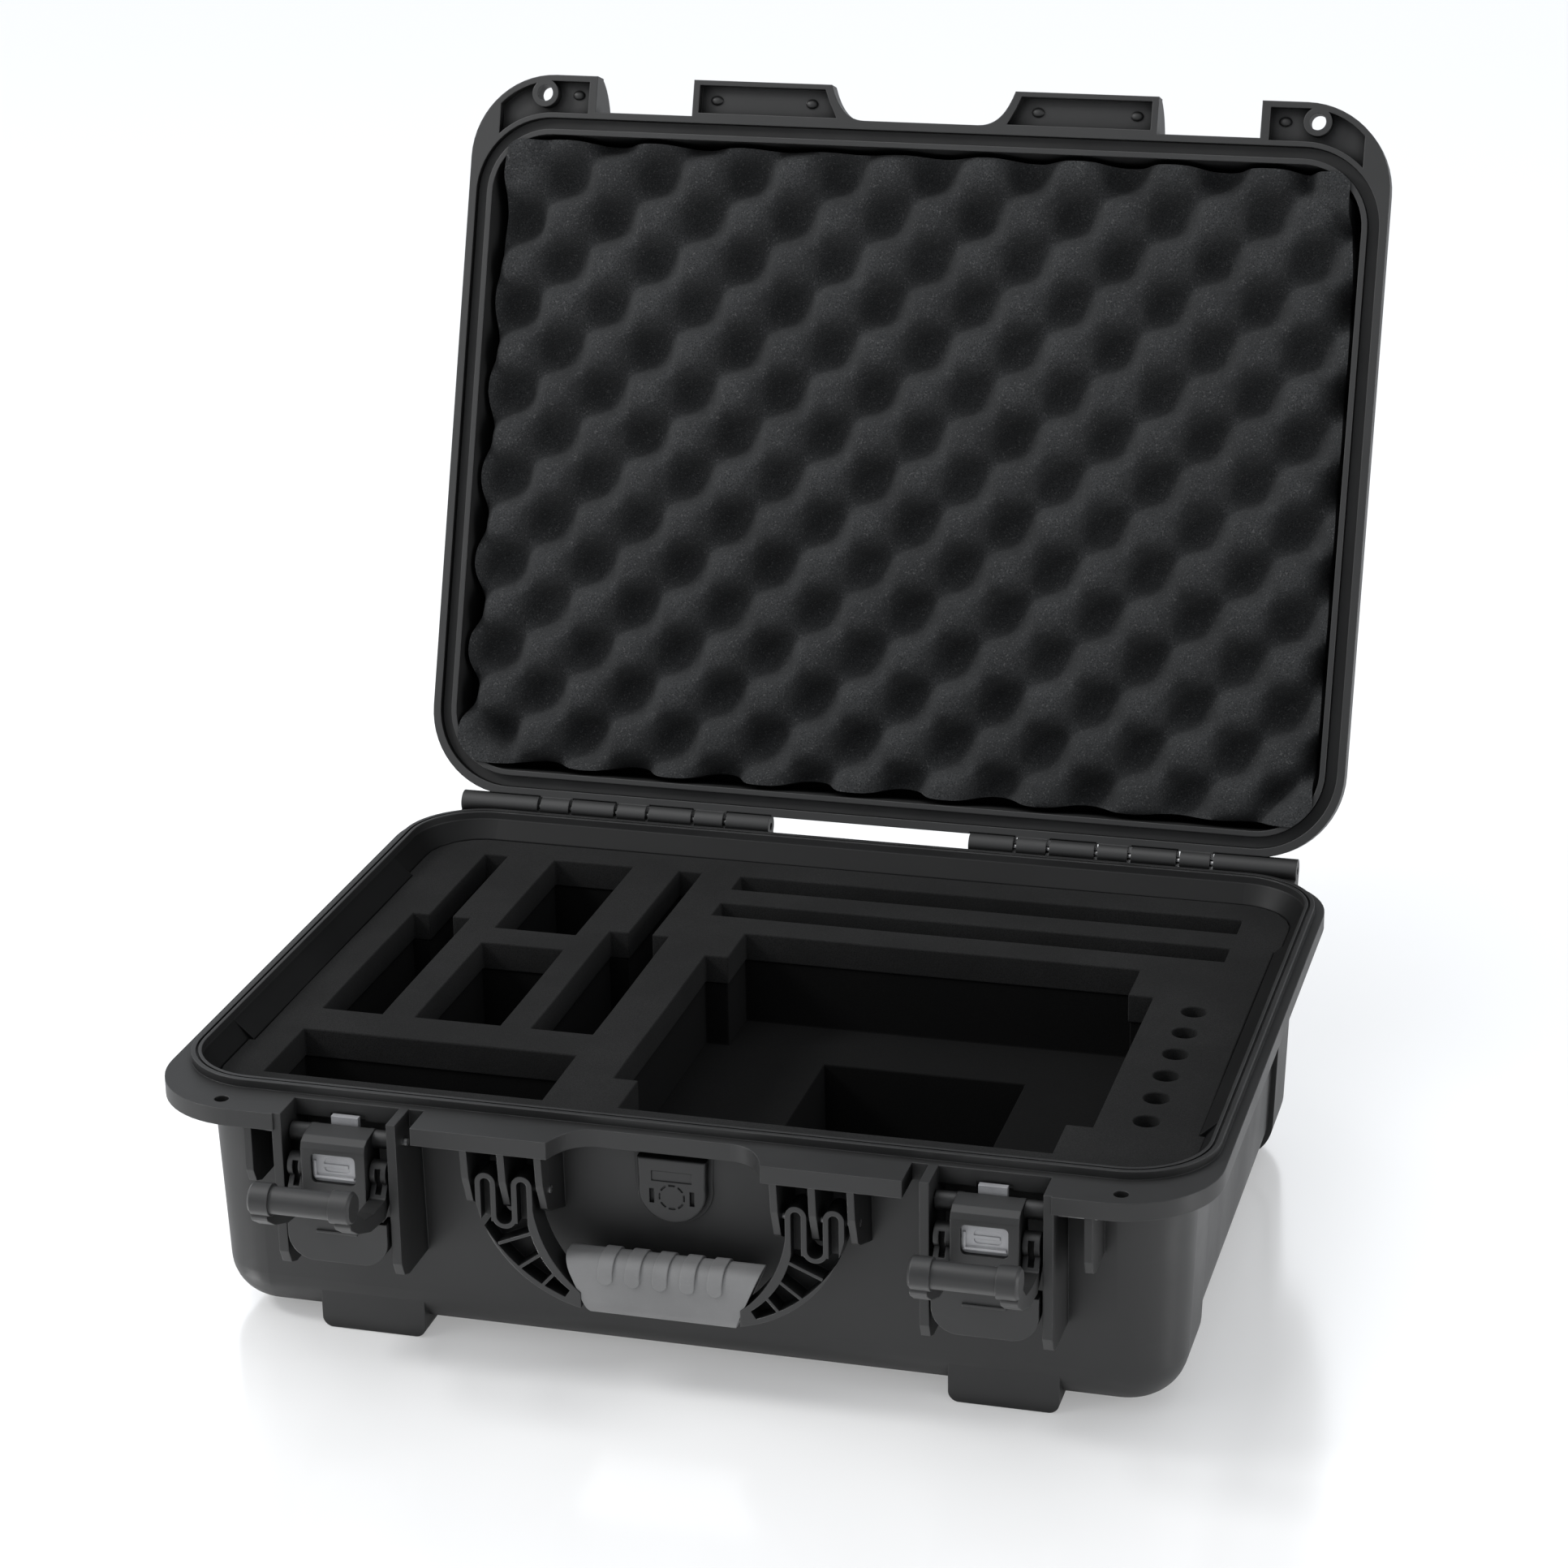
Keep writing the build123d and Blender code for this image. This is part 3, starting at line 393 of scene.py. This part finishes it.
EDGE_GROW = 1.5 * MM  # the soft sheet presses nearer to the wall than its plain solid
TOP_INSET = 5.0 * MM  # its sides draw in near the edge that stands at the top
TOP_INSET_REACH = 70.0 * MM
TOP_RISE = 3.2 * MM  # and the sheet stands out to the lip there
TOP_RISE_REACH = 34.0 * MM
CORNER_BLEND = 13.0 * MM
CORNER_FLAT_FROM, CORNER_FLAT_REACH = 14.0 * MM, 14.0 * MM  # the valleys fade out over this
LIP_FROM, LIP_REACH = 18.0 * MM, 14.0 * MM  # and the sheet rises over the lip over this
EDGE_REACH = 8.0 * MM  # how far in from a cut edge its swelling is felt
EDGE_DRAW = 3.4 * MM
TOP_DRAW_SHARE = 0.2


def lid_frame():
    """The matrix that turns a closed-lid shape to the standing lid."""
    hinge = joint("lid_hinge")
    turn = Matrix.Rotation(radians(-hinge["range_deg"][0]), 4, Vector(hinge["axis"]))
    pivot = Matrix.Translation(Vector(hinge["pos_m"]))
    return pivot @ turn @ pivot.inverted()


def closed_box(node, to_open):
    back = to_open.inverted()
    points = [back @ v.co for v in nodes[node].data.vertices]
    low = Vector([min(p[i] for p in points) for i in range(3)])
    high = Vector([max(p[i] for p in points) for i in range(3)])
    return low, high


def crate_height(x, y):
    """0 at the crests to 1 at the valleys, with steep sides between them."""
    p = Vector((x, y)) - CRATE_START
    scale = CRATE_ALONG.x * CRATE_ACROSS.y - CRATE_ALONG.y * CRATE_ACROSS.x
    along = (p.x * CRATE_ACROSS.y - p.y * CRATE_ACROSS.x) / scale
    across = (CRATE_ALONG.x * p.y - CRATE_ALONG.y * p.x) / scale
    slant, cross = cos(2 * pi * along + pi * across), cos(2 * pi * along - pi * across)
    wave = RIDGE_SHARE * slant + (1 - RIDGE_SHARE) * cross
    wave += 0.12 * noise.noise(Vector((x * 17, y * 17, 3.0)))
    share = 0.5 + 0.5 * tanh(CRATE_STEEP * wave) / tanh(CRATE_STEEP)
    return max(0.0, share) ** CRATE_BROAD


def smooth(value):
    value = min(1.0, max(0.0, value))
    return value * value * (3 - 2 * value)


def corner_place(x, y):
    """(x, y, distance from the corner's centre, share) with the square corner drawn in to its reach.

    share goes from 0 on the straight sides to 1 well into the corner, so that nothing steps there."""
    u, w = abs(x) - CORNER_AT.x, abs(y) - CORNER_AT.y
    if u <= 0 or w <= 0:
        return x, y, 0.0, 0.0
    radius = (u * u + w * w) ** 0.5
    share = smooth(min(u, w) / CORNER_BLEND)
    if radius > CORNER_REACH:
        u, w = u * CORNER_REACH / radius, w * CORNER_REACH / radius
        radius = CORNER_REACH
    x = (CORNER_AT.x + u) * (1 if x > 0 else -1)
    y = (CORNER_AT.y + w) * (1 if y > 0 else -1)
    return x, y, radius, share


def over_lip(radius, share):
    return share * smooth((radius - LIP_FROM) / LIP_REACH)


def inside_shell(x, y):
    u, w = abs(x) - CORNER_AT.x, abs(y) - CORNER_AT.y
    radius = (u * u + w * w) ** 0.5
    if u <= 0 or w <= 0 or radius < CORNER_SHELL:
        return x, y
    u, w = u * CORNER_SHELL / radius, w * CORNER_SHELL / radius
    return (CORNER_AT.x + u) * (1 if x > 0 else -1), (CORNER_AT.y + w) * (1 if y > 0 else -1)


def lid_foam_piece(mat):
    to_open = lid_frame()
    low, high = closed_box("lid_foam", to_open)
    crest, sheet = low.z, high.z
    x0, x1 = low.x - EDGE_GROW, high.x + EDGE_GROW
    y0, y1 = low.y - EDGE_GROW, high.y + EDGE_GROW
    nx = round((x1 - x0) / CRATE_STEP)
    ny = round((y1 - y0) / CRATE_STEP)
    bm = bmesh.new()
    grid = []
    for j in range(ny + 1):
        row = []
        for i in range(nx + 1):
            x = x0 + (x1 - x0) * i / nx
            y = y0 + (y1 - y0) * j / ny
            x *= 1 - TOP_INSET / x1 * smooth(1 - (y - y0) / TOP_INSET_REACH)
            depth = crate_height(x, y)
            # the cut edge swells out at each crest and draws in at each valley
            near, draw = EDGE_REACH, EDGE_DRAW * depth
            top_draw = draw * TOP_DRAW_SHARE if y < 0 else draw
            x += draw * (max(0, 1 - (x - x0) / near) - max(0, 1 - (x1 - x) / near))
            y += top_draw * (max(0, 1 - (y - y0) / near) - max(0, 1 - (y1 - y) / near))
            x, y, radius, share = corner_place(x, y)
            depth *= 1 - 0.85 * share * smooth((radius - CORNER_FLAT_FROM) / CORNER_FLAT_REACH)
            z = crest + CRATE_DEPTH * depth - TOP_RISE * smooth(1 - (y - y0) / TOP_RISE_REACH)
            z += (FLAP_FRONT - z) * over_lip(radius, share)
            z += 0.25 * MM * noise.noise(Vector((x, y, 0)) * 260)
            row.append(bm.verts.new((x, y, z)))
        grid.append(row)
    for j in range(ny):
        for i in range(nx):
            bm.faces.new((grid[j][i], grid[j + 1][i], grid[j + 1][i + 1], grid[j][i + 1]))
    rim = [grid[0][i] for i in range(nx)] + [grid[j][nx] for j in range(ny)]
    rim += [grid[ny][i] for i in range(nx, 0, -1)] + [grid[j][0] for j in range(ny, 0, -1)]
    rings = [rim, [], [], [], []]
    for v in rim:
        x, y, front = v.co
        over = over_lip(*corner_place(x, y)[2:])
        inner = Vector(inside_shell(x, y))
        for k in range(1, 5):
            plain = front + (sheet - front) * k / 4
            z = plain + ((FLAP_BACK if k == 1 else plain) - plain) * over
            if k == 2:
                z = plain + (FLAP_BACK + MM - plain) * over
            wobble = 0.4 * MM * noise.noise(Vector((x, y, z)) * 90) * (1 - over)
            place = Vector((x, y)) if k == 1 else inner
            rings[k].append(bm.verts.new((place.x + wobble, place.y + wobble, z)))
    count = len(rim)
    for a, b in zip(rings, rings[1:]):
        for i in range(count):
            n = (i + 1) % count
            bm.faces.new((a[i], a[n], b[n], b[i]))
    bm.faces.new(rings[-1])
    bmesh.ops.recalc_face_normals(bm, faces=bm.faces)
    for face in bm.faces:
        face.smooth = True
    for edge in bm.edges:
        if edge.calc_face_angle(0) > radians(60):
            edge.smooth = False
    bm.transform(to_open)
    obj = new_piece("lid_foam_sheet", bm, "lid", ["lid_foam"], mat)
    return obj


# ---------------------------------------------------------------- cut foam in the base
SNAP = 1.7 * MM  # cuts that are nearer than this share a line
FILL = 13.0 * MM
OPENINGS = {o["name"]: [Vector(p) for p in o["box_m"]] for o in frame["record"]["physics"]["openings"]}
BAYS = [
    "battery_slot_a", "battery_bay_a", "charger_bay", "spare_bay", "battery_slot_b",
    "battery_bay_b", "tool_bay", "rear_slot", "blade_slot", "drone_bay",
    "drone_bay_back", "drone_bay_front", "gimbal_pocket",
]
PEG_R = 6.2 * MM
PEG_SQUARE = 9.0 * MM
PEG_SIDES = 28
FLOOR_RAISE = 5.4 * MM
FLOOR_ROUND = 19.0 * MM
PANEL_Y = 110.3 * MM  # the side panels are stepped in by PANEL_STEP between these
PANEL_STEP = 3.0 * MM
DRAFT = 0.039  # the walls lean in by this for each unit of depth
DRAFT_REACH = 12.0 * MM
BLOCK_CORNER = 28.7 * MM
BLOCK_EDGE = 0.8 * MM


def snap(value, lines):
    return min(lines, key=lambda line: abs(line - value))


def cluster(values):
    """Merge values that nearly agree."""
    lines = []
    for value in sorted(values):
        if lines and value - lines[-1][-1] < SNAP:
            lines[-1].append(value)
        else:
            lines.append([value])
    return [sum(group) / len(group) for group in lines]


def filled(lines):
    """Add lines so that no gap is wider than FILL."""
    out = [lines[0]]
    for a, b in zip(lines, lines[1:]):
        parts = max(1, -int(-(b - a) // FILL))
        out += [a + (b - a) * k / parts for k in range(1, parts + 1)]
    return out


def pegs():
    out = []
    for name, (low, high) in OPENINGS.items():
        if name.startswith("peg_hole"):
            middle = (low + high) / 2
            out.append((middle.x, middle.y, low.z - 1 * MM))
    return out


def bay_boxes():
    """(x0, x1, y0, y1, floor) of every bay: a stated opening is 1 mm inside its bay."""
    boxes = []
    for name in BAYS:
        low, high = OPENINGS[name]
        y0, y1 = low.y - MM, high.y + MM
        if name == "drone_bay_back":
            y0 = 0.0
        if name == "drone_bay_front":
            y1 = 0.0
        boxes.append((low.x - MM, high.x + MM, y0, y1, low.z - MM))
    return boxes


def foam_block(name, node, mat, swell, on_floor=False):
    """A foam layer with its cut-outs, as a mesh of conforming quads with rounded edges.

    swell opens every cut-out by this much, so that the lower layer shows a shadow gap.
    on_floor makes it follow the shell's rounded bottom edges and lie on its raised middle."""
    low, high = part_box(node)
    shell_floor = low.z
    if on_floor:
        low.z += FLOOR_RAISE
    far_x, far_y = high.x, high.y
    boxes = []
    for x0, x1, y0, y1, deep in bay_boxes():
        boxes.append((x0 - swell, x1 + swell, y0 - swell, y1 + swell, deep))
    holes = pegs()
    xs = [-far_x, -far_x + PANEL_STEP, far_x - PANEL_STEP, far_x]
    ys = [-far_y, -PANEL_Y, PANEL_Y, far_y]
    for x0, x1, y0, y1, deep in boxes:
        xs += [x0, x1]
        ys += [y0, y1]
    xs, ys = cluster(xs), cluster(ys)
    peg_x = holes[0][0]
    side_lines = [peg_x - PEG_SQUARE, peg_x + PEG_SQUARE]
    xs = sorted(xs + side_lines)
    ys = sorted(ys + [h[1] + s * PEG_SQUARE for h in holes for s in (-1, 1)])
    ys = [y for i, y in enumerate(ys) if i == 0 or y - ys[i - 1] > 0.4 * MM]
    cut_x, cut_y = list(xs), list(ys)
    xs, ys = filled(xs), filled(ys)
    zs = {low.z, high.z}
    for box in boxes:
        if low.z < box[4] < high.z:
            zs.add(box[4])
    zs = filled(sorted(zs))
    boxes = [
        (snap(a, cut_x), snap(b, cut_x), snap(c, cut_y), snap(d, cut_y), e)
        for a, b, c, d, e in boxes
    ]

    def solid(x, y, z):
        if abs(x) > far_x or abs(y) > far_y or not low.z < z < high.z:
            return False
        if abs(x) > far_x - PANEL_STEP and abs(y) < PANEL_Y:
            return False
        for x0, x1, y0, y1, deep in boxes:
            if x0 < x < x1 and y0 < y < y1 and z > deep:
                return False
        return True

    def in_peg(x, y):
        return any(abs(x - h[0]) < PEG_SQUARE and abs(y - h[1]) < PEG_SQUARE for h in holes)

    bm = bmesh.new()
    made = {}

    def vert(i, j, k):
        key = (i, j, k)
        if key not in made:
            made[key] = bm.verts.new((xs[i], ys[j], zs[k]))
        return made[key]

    def middle(lines, i):
        if i < 0 or i >= len(lines) - 1:
            return 10.0
        return (lines[i] + lines[i + 1]) / 2

    nx, ny, nz = len(xs) - 1, len(ys) - 1, len(zs) - 1
    full = {}
    for i in range(-1, nx + 1):
        for j in range(-1, ny + 1):
            for k in range(-1, nz + 1):
                full[i, j, k] = solid(middle(xs, i), middle(ys, j), middle(zs, k))
    for i in range(nx):
        for j in range(ny):
            for k in range(nz):
                if not full[i, j, k]:
                    continue
                a, b, c, d, e, f = i, i + 1, j, j + 1, k, k + 1
                if not full[i - 1, j, k]:
                    bm.faces.new((vert(a, c, e), vert(a, c, f), vert(a, d, f), vert(a, d, e)))
                if not full[i + 1, j, k]:
                    bm.faces.new((vert(b, c, e), vert(b, d, e), vert(b, d, f), vert(b, c, f)))
                if not full[i, j - 1, k]:
                    bm.faces.new((vert(a, c, e), vert(b, c, e), vert(b, c, f), vert(a, c, f)))
                if not full[i, j + 1, k]:
                    bm.faces.new((vert(a, d, e), vert(a, d, f), vert(b, d, f), vert(b, d, e)))
                peg = in_peg(middle(xs, i), middle(ys, j))
                if not full[i, j, k - 1] and not (peg and low.z > holes[0][2]):
                    bm.faces.new((vert(a, c, e), vert(a, d, e), vert(b, d, e), vert(b, c, e)))
                if not full[i, j, k + 1] and not (peg and holes[0][2] < high.z):
                    bm.faces.new((vert(a, c, f), vert(b, c, f), vert(b, d, f), vert(a, d, f)))

    def square_path(hole, k):
        """The lattice points round a peg's square, anticlockwise from the low corner."""
        x0, x1 = snap(hole[0] - PEG_SQUARE, xs), snap(hole[0] + PEG_SQUARE, xs)
        y0, y1 = snap(hole[1] - PEG_SQUARE, ys), snap(hole[1] + PEG_SQUARE, ys)
        i0, i1, j0, j1 = xs.index(x0), xs.index(x1), ys.index(y0), ys.index(y1)
        low_side = [(i, j0) for i in range(i0, i1)]
        right = [(i1, j) for j in range(j0, j1)]
        top = [(i, j1) for i in range(i1, i0, -1)]
        left = [(i0, j) for j in range(j1, j0, -1)]
        sides = [low_side + [right[0]], right + [top[0]], top + [left[0]], left + [low_side[0]]]
        return [[vert(i, j, k) for i, j in side] for side in sides]

    def circle(hole, z):
        radius = PEG_R + swell
        out = []
        for n in range(PEG_SIDES):
            turn = 2 * pi * (n / PEG_SIDES - 0.375)
            out.append(bm.verts.new((hole[0] + radius * cos(turn), hole[1] + radius * sin(turn), z)))
        return out

    def patch(hole, k, ring, upward):
        quarter = PEG_SIDES // 4
        for n, side in enumerate(square_path(hole, k)):
            arc = [ring[(n * quarter + m) % PEG_SIDES] for m in range(quarter + 1)]
            loop = side + arc[::-1]
            bm.faces.new(loop if upward else loop[::-1])

    if holes[0][2] < high.z:
        for hole in holes:
            top = circle(hole, high.z)
            patch(hole, nz, top, True)
            bottom = circle(hole, max(low.z, hole[2]))
            if low.z > hole[2]:
                patch(hole, 0, bottom, False)
            else:
                bm.faces.new(bottom)
            for n in range(PEG_SIDES):
                m = (n + 1) % PEG_SIDES
                bm.faces.new((top[n], bottom[n], bottom[m], top[m]))

    for v in bm.verts:
        x, y, z = v.co
        for axis, far in ((0, far_x), (1, far_y)):
            out = max(0.0, 1 - (far - abs(v.co[axis])) / DRAFT_REACH)
            up = min(FLOOR_ROUND, z - shell_floor)
            shift = DRAFT * (high.z - z) * out
            if on_floor:
                inner = FLOOR_ROUND - up
                shift += (FLOOR_ROUND - (FLOOR_ROUND ** 2 - inner ** 2) ** 0.5) * out
            if axis == 0:
                x -= shift if x > 0 else -shift
            else:
                y -= shift if y > 0 else -shift
        u = (abs(x) - (far_x - BLOCK_CORNER)) / BLOCK_CORNER
        w = (abs(y) - (far_y - BLOCK_CORNER)) / BLOCK_CORNER
        if u > 0 and w > 0:
            sx, sy = (1 if x > 0 else -1), (1 if y > 0 else -1)
            x = sx * (far_x - BLOCK_CORNER + BLOCK_CORNER * u * (1 - w * w / 2) ** 0.5)
            y = sy * (far_y - BLOCK_CORNER + BLOCK_CORNER * w * (1 - u * u / 2) ** 0.5)
        soft = Vector((x, y, z)) * 11
        x += 0.45 * MM * noise.noise(soft)
        y += 0.45 * MM * noise.noise(soft + Vector((7, 0, 0)))
        if z > high.z - MM:
            z += 0.22 * MM * (noise.noise(soft * 1.7) - 0.6)
        v.co = (x, y, z)
    bmesh.ops.recalc_face_normals(bm, faces=bm.faces)
    sharp = [e for e in bm.edges if len(e.link_faces) == 2 and e.calc_face_angle(0) > radians(40)]
    bmesh.ops.bevel(
        bm, geom=sharp, offset=BLOCK_EDGE, segments=2, profile=0.5, affect="EDGES",
        clamp_overlap=False,
    )
    for face in bm.faces:
        face.smooth = True
    obj = new_piece(name, bm, "base", [node], mat)
    weighted = obj.modifiers.new("even", "WEIGHTED_NORMAL")
    weighted.weight = 80
    return obj


# ---------------------------------------------------------------- build
make_camera()
make_stage()

SHELL = moulded_plastic("shell_black", grey(0.0125), grey(0.055), 0.50)
BASE = moulded_plastic("base_black", grey(0.0115), grey(0.055), 0.50, shade=base_shade)
LATCH = moulded_plastic("latch_black", grey(0.0135), grey(0.060), 0.44, grain=3000.0)
SEAL = rubber("gasket_black", grey(0.010), 0.70)
GRIP = rubber("grip_grey", grey(0.150), 0.56)
SILVER = silver_plastic("slide_silver", (0.33, 0.33, 0.34))
STEEL = metal("pin_steel", grey(0.42))
VALVE = moulded_plastic("valve_black", grey(0.015), grey(0.06), 0.46, grain=3200.0)
TOP_FOAM = foam("foam_top", grey(0.0118), grey(0.035), cell=1500.0, flecks=0.15, depth=0.00015)
CORE_FOAM = foam("foam_core", grey(0.002), grey(0.006), cell=1500.0, flecks=0.1, depth=0.00015)
LID_FOAM = foam("foam_lid", grey(0.030, -0.03), grey(0.085), cell=1050.0, flecks=0.5, depth=0.0004)

LOOKS = {
    "base_shell": BASE, "lid_shell": SHELL, "handle_frame": LATCH, "handle_grip": GRIP,
    "lid_gasket": SEAL, "valve_o_ring": SEAL, "valve_membrane": SEAL, "valve_cap": VALVE,
    "valve_housing": VALVE, "valve_nut": VALVE,
}
for side in ("left", "right"):
    LOOKS[f"latch_lever_{side}"] = LATCH
    LOOKS[f"latch_claw_{side}"] = LATCH
    LOOKS[f"slide_lock_{side}"] = SILVER
    for pin in ("hinge_pin", "handle_pin", "latch_pin", "claw_pin"):
        LOOKS[f"{pin}_{side}"] = STEEL
for node, mat in LOOKS.items():
    paint(nodes[node], mat)

lid_foam_piece(LID_FOAM)
foam_block("base_foam_top", "foam_top_layer", TOP_FOAM, 0.0)
foam_block("base_foam_core", "foam_core", CORE_FOAM, 0.8 * MM)
foam_block("base_foam_floor", "foam_floor_pad", CORE_FOAM, 0.0, on_floor=True)
